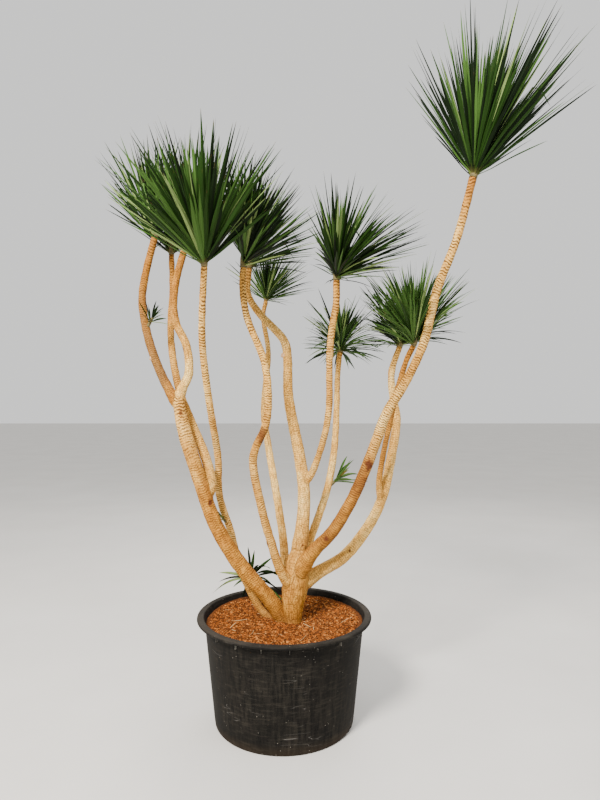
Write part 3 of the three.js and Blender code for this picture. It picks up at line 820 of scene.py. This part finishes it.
def seeded_numbers(seed):
    """Numbers from 0 to 1 that are the same for a seed each time."""
    state, period = seed * 7919, 2 ** 32
    while True:
        state = (state * 1664525 + 1013904223) % period
        yield state / period


def turned_about(v, axis, angle):
    return (v * cos(angle) + np.cross(axis, v) * sin(angle)
            + axis * np.dot(axis, v) * (1 - cos(angle)))


def head_place(cane, lean, reach):
    limb = samples[cane]
    foot, axis = limb.points[-1], unit([*lean, 1.0])
    length = HEAD_STALK.length * reach
    return Group(foot=foot, tangent=limb.frames[0][-1], axis=axis, length=length, stalk=HEAD_STALK,
                 focus=foot + 2 * length * axis, radius=LIMBS[cane][0][-1] * MM)


def shoot_place(cane, height, towards):
    limb = samples[cane]
    index = int(np.nonzero(limb.points[:, 2] > height * MM)[0][0])
    foot, axis = limb.points[index], unit(towards)
    length = along(LIMBS[cane][0], index / len(limb.points)) * MM + SHOOT_STALK.length * MM
    return Group(foot=foot, tangent=axis, axis=axis, length=length, stalk=SHOOT_STALK,
                 focus=foot + length * axis, radius=SHOOT_STALK.radius * MM)


def stalk_line(place, count):
    """A bend from the tip of the cane into the head."""
    t = np.linspace(0, 1, count)[:, None]
    foot = place.foot
    bend = foot + place.tangent * place.length / 2
    end = foot + place.axis * place.length
    return (1 - t) ** 2 * foot + 2 * t * (1 - t) * bend + t ** 2 * end


def blade(root, out, axis, length, width, arch, sway, twist, kink):
    """The corners of one leaf, a keeled blade with four corners to a ring, and its midrib."""
    t = BLADE_AT[:, None]
    side = unit(np.cross(axis, out))
    line = root + (out * CLASP + axis * (1 - CLASP)) * length * t
    line = line + side * sway * length * t ** 2 - UP * arch * (1 - ARCH_START) * length * t ** 2
    if kink is not None:
        bent = np.clip(t - kink, 0, 1) * length
        line = line - out * bent * FOLDED_TIP + unit(side - UP) * bent * FOLDED_TIP
    forward = unit_rows(np.gradient(line, axis=0))
    across = unit_rows(side - forward * (forward @ side)[:, None])
    upper = np.cross(forward, across)
    angle = twist * t ** 1.3
    across, upper = (across * np.cos(angle) + upper * np.sin(angle),
                     upper * np.cos(angle) - across * np.sin(angle))
    half = (0.5 * width * BLADE_WIDTH)[:, None]
    lift = upper * half * BLADE_FOLD[:, None]
    thick = np.maximum(THICKNESS * width * BLADE_WIDTH, THINNEST)[:, None]
    return np.stack([line - across * half + lift, line, line + across * half + lift,
                     line - upper * thick], axis=1), line


def blade_faces():
    ring, last = len(RING_ACROSS), len(RING_ACROSS) * (len(BLADE_AT) - 1)
    faces = [(i + a, i + ring + a, i + ring + b, i + b)
             for i in range(0, last, ring) for a, b in ((0, 1), (1, 2), (2, 3), (3, 0))]
    return np.array(faces + [(0, 1, 2, 3), (last + 3, last + 2, last + 1, last)])


def grow(mass, place, others, box):
    """The leaves of one head, in a spiral with the outermost lowest, as on the solid. A leaf
    that would touch a limb or go well into the next head's space is left out."""
    leaves, reach, base_width, narrow, wide, droop, seed, greens = mass
    random = seeded_numbers(seed)
    axis, stalk = place.axis, stalk_line(place, STALK_SAMPLES)
    chances = np.cumsum(greens) / sum(greens)
    lowest, highest = place.stalk.rooted
    around = unit(np.cross([1.0, 0.0, 0.0], axis))
    reach = reach * MM
    blades, kinds = [], []
    for i in range(4 * leaves):
        if len(blades) == leaves:
            break
        share = (i % leaves + next(random)) / leaves
        outwards = turned_about(around, axis, i * GOLDEN_ANGLE + TURN * next(random))
        spread = radians(wide + (narrow - wide) * share + LEAN * (next(random) - 0.5))
        out = turned_about(axis, unit(np.cross(axis, outwards)), spread)
        at = lowest + share * (highest - lowest)
        root = np.array([along(stalk[:, k], at) for k in range(3)])
        root = root + outwards * ROOTED_AT * place.radius * along(place.stalk.swelling, at)
        fullness = 1 - LESS_FULL * (1 - sin(WAVE * share + WAVE_START))
        length = reach * fullness * (1 - SHORTER * next(random) ** 1.3)
        width = reach * base_width * (SLIMMEST + WIDER * next(random))
        width *= OUTER_WIDTH - INNER_LESS * share
        arch = droop * (LEAST_ARCH + MORE_ARCH * next(random)) + OWN_ARCH
        sway = SWAY * (next(random) - 0.5)
        twist = TWIST * (next(random) - 0.5)
        kink = KINK_FROM + KINK_WITHIN * next(random) if next(random) < KINKED else None
        green = next(random)
        corners, line = blade(root, out, axis, length, width, arch, sway, twist, kink)
        apart = norm(line[2:, None] - LIMB_POINTS[None], axis=2) - LIMB_RADII[None]
        tip = line[-1]
        own = norm(tip - place.focus)
        if (apart.min() >= width / 2 + CLEAR_OF_LIMBS
                and not (tip < box[0]).any() and not (tip > box[1]).any()
                and all(norm(tip - other) >= own - INTO_NEXT for other in others)):
            blades.append(corners.reshape(-1, 3))
            kinds.append(int(np.searchsorted(chances, green)))
    return np.array(blades), np.array(kinds)


def foliage(name, blades, kinds, finishes, slot, replaced):
    """All leaves of a head as one mesh, with a UV map across and along each leaf."""
    count, corners = blades.shape[:2]
    leaf = blade_faces()
    faces = (leaf[None] + (np.arange(count) * corners)[:, None, None]).reshape(-1, 4)
    made = mesh_object(name, blades.reshape(-1, 3), faces, *finishes)
    mesh = made.data
    at = read_all(mesh.loops, "vertex_index", 1, int).ravel() % corners
    across = np.tile(RING_ACROSS, len(BLADE_AT))[at]
    lengthwise = np.repeat(BLADE_AT, len(RING_ACROSS))[at]
    layer = mesh.uv_layers.new(name="UVMap")
    layer.data.foreach_set("uv", np.column_stack([across, lengthwise]).ravel())
    give(mesh, leaf_number=np.repeat(np.arange(count) * LEAF_SHIFT, corners))
    mesh.polygons.foreach_set("material_index", np.repeat(kinds, len(leaf)))
    mesh.update()
    return own_piece(made, slot, replaced, sharp_from=KEEL_ANGLE)


# Tub and filling

# The filling's upper face is all above this height, in metres
UNDER_TOP = 0.4


def wall_radius(height):
    return TUB.base_radius + (TUB.shoulder_radius - TUB.base_radius) * height / TUB.height


def arc(cx, cz, radius, start, end, steps):
    """Corners of a profile on an arc, between two angles in degrees."""
    return [(cx + radius * cos(radians(a)), cz + radius * sin(radians(a)))
            for a in np.linspace(start, end, steps)]


def make_tub(finish):
    """The tub, drawn from the middle of its underside out, up, over the rim and down inside."""
    base, rim, top = TUB.base_radius, TUB.rim_radius, TUB.height
    lip = top - TUB.lip_drop
    collar = lip - TUB.collar_drop
    foot, over, under, inside = TUB.foot_round, TUB.rim_round, TUB.lip_round, TUB.inner_round
    profile = [(0, TUB.recess), (base - TUB.foot_width, TUB.recess),
               (base - TUB.foot_width + TUB.recess + 1, 0), (base - foot - 5, 0)]
    profile += arc(base - foot, foot, foot, -90, -5, 6)
    profile += [(wall_radius(h), h) for h in np.linspace(30, collar - 4, TUB.wall_rings)]
    profile += [(wall_radius(collar) + 1, collar), (TUB.collar_radius - 2, collar + 3)]
    profile += [(TUB.collar_radius, lip - 2), (TUB.collar_radius + 3, lip + 1)]
    profile += arc(rim - under, lip + under + 1, under, -100, -10, 5)
    profile += arc(rim - over, top - over, over, 10, 90, 7)
    profile += arc(rim - TUB.rim_width + inside, top - inside, inside, 90, 170, 6)
    profile += [(wall_radius(h) - TUB.wall, h) for h in (collar, *TUB.inner_rings)]
    profile += [(base - TUB.wall, TUB.floor), (0, TUB.floor)]
    corners, faces = turned([(r * MM, h * MM) for r, h in profile], TUB.segments)
    tub = mesh_object("tub", corners, faces, finish)
    return own_piece(tub, "tub_plastic", "pot", sharp_from=CREASE)


def mulch_height(radius, angle):
    outwards = max(0.0, radius - MULCH.stand_radius) / (TUB.shoulder_radius - MULCH.stand_radius)
    waves = sin(3 * angle + 1) + sin(5 * angle + radius / MULCH.wave_length)
    return MULCH.level + outwards * (MULCH.rise + MULCH.unevenness * waves / 2)


def mulch_lump(x, y):
    """Soft lumps with small ones on them, none of which stands up far."""
    soft = noise.noise(Vector((x, y, 3)) / MULCH.lump_size)
    small = noise.noise(Vector((x, y, 9)) / MULCH.crumb_size)
    return min(soft + MULCH.crumb_share * small, MULCH.flattened) * MULCH.lumps


def make_mulch_bed(finish):
    """The filling: a closed body whose upper face is lumpy, but less so near the wall."""
    rings, sides, floor = MULCH.rings, MULCH.sides, (TUB.floor + 1) * MM
    brim = wall_radius(MULCH.level + MULCH.rise) - TUB.wall + 1
    foot = TUB.base_radius - TUB.wall - 1
    angles = [2 * pi * j / sides for j in range(sides)]
    corners, faces = [(0, 0, mulch_height(0, 0) * MM)], []
    for ring in range(1, rings + 1):
        radius = brim * (ring / rings) ** MULCH.crowding
        for angle in angles:
            x, y = radius * cos(angle), radius * sin(angle)
            lump = mulch_lump(x, y) * min(1.0, (rings - ring + 2) / MULCH.calm_rings)
            height = mulch_height(radius, angle) + lump - MULCH.sunk
            corners.append((x * MM, y * MM, height * MM))
    corners += [(foot * cos(angle) * MM, foot * sin(angle) * MM, floor)
                for angle in angles]
    corners.append((0, 0, floor))
    last = 1 + rings * sides
    for j in range(sides):
        k = (j + 1) % sides
        faces.append((0, 1 + j, 1 + k))
        for start in range(1, last, sides):
            a, b = start + j, start + k
            faces.append((a, a + sides, b + sides, b))
        faces.append((last + j, len(corners) - 1, last + k))
    return own_piece(mesh_object("mulch_bed", corners, faces, finish), "mulch", "potting_mulch")


def bed_top(mesh, margin):
    """The upper face of the filling, up to a margin in millimetres from the wall."""
    top = bmesh.new()
    top.from_mesh(mesh)
    limit = (wall_radius(MULCH.level) - TUB.wall - margin) * MM
    outside = [v for v in top.verts if v.co.z < UNDER_TOP or v.co.xy.length > limit]
    bmesh.ops.delete(top, geom=outside, context="VERTS")
    bmesh.ops.recalc_face_normals(top, faces=top.faces)
    upper = bpy.data.meshes.new("bed_top")
    top.to_mesh(upper)
    top.free()
    return upper


# Node trees of what repeats

class Growth(Nodes):
    """A geometry tree that grows pieces on a base mesh, with a named input for each value."""

    def __init__(self, name, base, **values):
        self.made = in_scene(name, base)
        self.tree = bpy.data.node_groups.new(name, "GeometryNodeTree")
        ends = self.tree.interface
        for end in ("INPUT", "OUTPUT"):
            ends.new_socket("Geometry", in_out=end, socket_type="NodeSocketGeometry")
        kinds = {int: "Int", float: "Float", tuple: "Vector", bpy.types.Material: "Material"}
        given = {}
        for title, value in values.items():
            kind = "NodeSocket" + kinds[type(value)]
            given[ends.new_socket(title, in_out="INPUT", socket_type=kind).identifier] = value
        modifier = self.made.modifiers.new(name, "NODES")
        modifier.node_group = self.tree
        for identifier, value in given.items():
            modifier[identifier] = value
        self.given = self.tree.nodes.new("NodeGroupInput").outputs
        self.result = self.tree.nodes.new("NodeGroupOutput").inputs[0]

    def vector(self, **parts):
        return self.node("ShaderNodeCombineXYZ", parts)[0]

    def chance(self, low, high):
        """A vector for each piece, drawn between two others."""
        inputs = {0: low, 1: high, **self.picked("Seed")}
        return self.node("FunctionNodeRandomValue", inputs, data_type="FLOAT_VECTOR")[0]

    def placed(self, slot, points, piece, turn, **scale):
        """The plain mesh of copies of a piece on points, as an object in the given finish."""
        inputs = {"Points": points, "Instance": piece, "Rotation": turn, **scale}
        copies = self.node("GeometryNodeInstanceOnPoints", inputs)[0]
        real = self.node("GeometryNodeRealizeInstances", {0: copies})[0]
        inputs = {"Geometry": real, "Material": self.given["Finish"]}
        self.put(self.result, self.node("GeometryNodeSetMaterial", inputs)[0])
        return own_piece(applied(self.made), slot)

    def strewn(self, piece, size, tilt):
        """Copies of a piece strewn over the base mesh, tilted by no more than tilt."""
        inputs = {"Mesh": self.given["Geometry"], **self.picked("Density", "Seed")}
        points = self.node("GeometryNodeDistributePointsOnFaces", inputs)[0]
        turn = self.chance((-tilt, -tilt, 0.0), (tilt, tilt, FULL_TURN))
        return self.placed("mulch", points, piece, turn, Scale=size)

    def picked(self, *names):
        return {name: self.given[name] for name in names}


def make_gussets(finish):
    """Small upright ribs in a ring under the rim, each turned to face out."""
    low_edge = TUB.height - TUB.lip_drop - GUSSETS.height / 2
    g = Growth("tub_gussets", bpy.data.meshes.new("nothing"), Count=GUSSETS.count,
               Radius=GUSSETS.radius * MM, Turn=radians(GUSSETS.turn),
               Height=(low_edge + GUSSETS.sunk) * MM, Finish=finish,
               Size=(GUSSETS.width * MM, GUSSETS.thickness * MM, GUSSETS.height * MM))
    circle = {"Vertices": g.given["Count"], "Radius": g.given["Radius"]}
    ring = g.node("GeometryNodeTransform", {
        "Geometry": g.node("GeometryNodeMeshCircle", circle)[0],
        "Translation": g.vector(Z=g.given["Height"]), "Rotation": g.vector(Z=g.given["Turn"])})[0]
    rib = g.node("GeometryNodeMeshCube", g.picked("Size"))[0]
    place = g.node("GeometryNodeInputPosition", {})[0]
    flat = g.node("ShaderNodeVectorMath", {0: place, 1: (1, 1, 0)}, operation="MULTIPLY")[0]
    facing = g.node("FunctionNodeAlignRotationToVector", {"Vector": flat}, axis="X")[0]
    return g.placed("tub_plastic", ring, rib, facing)


def strew_chips(name, density, seed, dark, light):
    """Flat angular chips lying about on the filling."""
    g = Growth(name, bed_top(bed.data, CHIP_MARGIN), Density=density, Seed=seed,
               Chip=CHIP_RADIUS, Smallest=SMALLEST_CHIP, Largest=LARGEST_CHIP,
               Finish=mulch_finish(name, dark, light, fineness=260.0))
    chip = g.node("GeometryNodeMeshIcoSphere", {"Radius": g.given["Chip"], "Subdivisions": 1})[0]
    return g.strewn(chip, g.chance(g.given["Smallest"], g.given["Largest"]), CHIP_TILT)


def strew_fibres(name, length, thickness, density, seed, dark, light):
    """Thin curved fibres lying on the filling, clear of the wall for their length."""
    g = Growth(name, bed_top(bed.data, FIBRE_MARGIN + FIBRE_REACH * length / MM),
               Density=density, Length=length, Thickness=thickness, Seed=seed,
               Smallest=SMALLEST_FIBRE, Largest=LARGEST_FIBRE,
               Finish=mulch_finish(name, dark, light, fineness=300.0))
    half = g.times(g.given["Length"], 0.5)
    hump = g.vector(Y=g.times(g.given["Length"], FIBRE_HUMP), Z=g.given["Thickness"])
    strand = g.node("GeometryNodeCurveQuadraticBezier", {
        "Resolution": 6, "Start": g.vector(X=g.times(half, -1.0)), "Middle": hump,
        "End": g.vector(X=half)})[0]
    section = {"Resolution": 3, "Radius": g.given["Thickness"]}
    solid = g.node("GeometryNodeCurveToMesh", {
        "Curve": strand, "Profile Curve": g.node("GeometryNodeCurvePrimitiveCircle", section)[0],
        "Fill Caps": True})[0]
    limits = {2: g.given["Smallest"], 3: g.given["Largest"], **g.picked("Seed")}
    return g.strewn(solid, g.node("FunctionNodeRandomValue", limits)[1], FIBRE_TILT)


# The object

make_tub(tub_finish("tub_plastic", dust_level=0.55, dust_colour=TUB_DUST))
# The ribs under the lip get heavy pale dust that also paints light on them where the lip shades them
make_gussets(tub_finish("tub_dust_and_painted_light", dust_level=2.6, dust_colour=GUSSET_DUST_AND_LIGHT))
bed = make_mulch_bed(mulch_finish("mulch_crumbs_and_gap_shade", *MULCH_COLOURS, fineness=120.0))
for name, row in CHIPS.items():
    strew_chips(name, *row)
for name, row in FIBRES.items():
    strew_fibres(name, *row)

bark = bark_finish()
for name, (voxel, limb_names) in CLUMPS.items():
    clump(name, voxel, limb_names, bark)
cut_wood = grained_finish("cut_wood", 0.75, 420.0, 4.0, *zip((0.35, 0.65), CUT_WOOD),
                          relief=0.0005)
stubs = mesh_object("cut_stubs", *joined([stub(*row) for row in STUBS]), cut_wood)
own_piece(stubs, "bark", sharp_from=CREASE)

greens = [leaf_finish(name, green) for name, green in GREENS.items()]
masses = {}
for cane, (lean, leaves, reach, *growth) in HEADS.items():
    masses[cane] = (head_place(cane, lean, reach * MM), (leaves, reach, *growth), "leaves")
for name, (cane, height, towards, *growth) in SHOOTS.items():
    masses[name] = (shoot_place(cane, height, towards), growth, "young_leaves")
stalks = []
for name, (place, mass, slot) in masses.items():
    others = [other.focus for key, (other, _, _) in masses.items() if key != name]
    node = name if name in SHOOTS else name + "_leaves"
    low, high = (np.array(corner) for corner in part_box(node))
    blades, kinds = grow(mass, place, others, (low - BEYOND_SOLID, high + BEYOND_SOLID))
    foliage(name + "_blades", blades, kinds, greens, slot, node)
    widths = along(place.stalk.swelling, np.linspace(0, 1, STALK_RINGS))
    stalks.append(tube(stalk_line(place, STALK_RINGS), widths * place.radius, STALK_SIDES))
sheath = grained_finish("leaf_sheath", 0.7, (60, 60, 200), 3.0, *zip((0.35, 0.55, 0.75), SHEATH),
                        relief=0.001)
own_piece(mesh_object("leaf_bases", *joined(stalks), sheath), "leaves")

# Floor, light and camera

FLOOR_REACH = 40
SKY = (0.90, 0.90, 0.89, 1)
SKY_STRENGTH = 1.1
# Lamps: the place, the height they point at over the tub, how wide, how strong, and the colour
LAMPS = {
    "key": ((-2.1, -4.0, 4.7), 1.4, 1.5, 850, (1.0, 0.95, 0.88)),
    "fill": ((3.6, -2.2, 3.2), 1.4, 3.0, 60, (0.97, 0.98, 1.0)),
    "back": ((1.2, 4.2, 4.8), 1.6, 4.0, 190, (1.0, 0.98, 0.95)),
}
CAMERA = Group(place=(0.072, -2.783, 1.452), tilt=90.286, lens=27, sensor=36)

corners = [(x * FLOOR_REACH, y * FLOOR_REACH, 0) for x, y in ((-1, -1), (1, -1), (1, 1), (-1, 1))]
pale_floor = grained_finish("pale_floor", 0.75, 1.3, 4.0, *zip((0.3, 0.7), FLOOR))
mesh_object("floor", corners, [(0, 1, 2, 3)], pale_floor)

scene.world = bpy.data.worlds.new("soft_sky")
scene.world.use_nodes = True
sky = scene.world.node_tree.nodes["Background"].inputs
sky["Color"].default_value = SKY
sky["Strength"].default_value = SKY_STRENGTH

for name, (place, height, size, power, colour) in LAMPS.items():
    light = bpy.data.lights.new(name, "AREA")
    light.shape = "DISK"
    light.size = size
    light.energy = power
    light.color = colour
    lamp = in_scene(name, light)
    lamp.location = place
    facing = Vector((0, 0, height)) - Vector(place)
    lamp.rotation_euler = facing.to_track_quat("-Z", "Y").to_euler()

camera = in_scene("camera", bpy.data.cameras.new("camera"))
camera.location = CAMERA.place
camera.rotation_euler = (radians(CAMERA.tilt), 0, 0)
camera.data.lens = CAMERA.lens
camera.data.sensor_width = CAMERA.sensor
scene.camera = camera
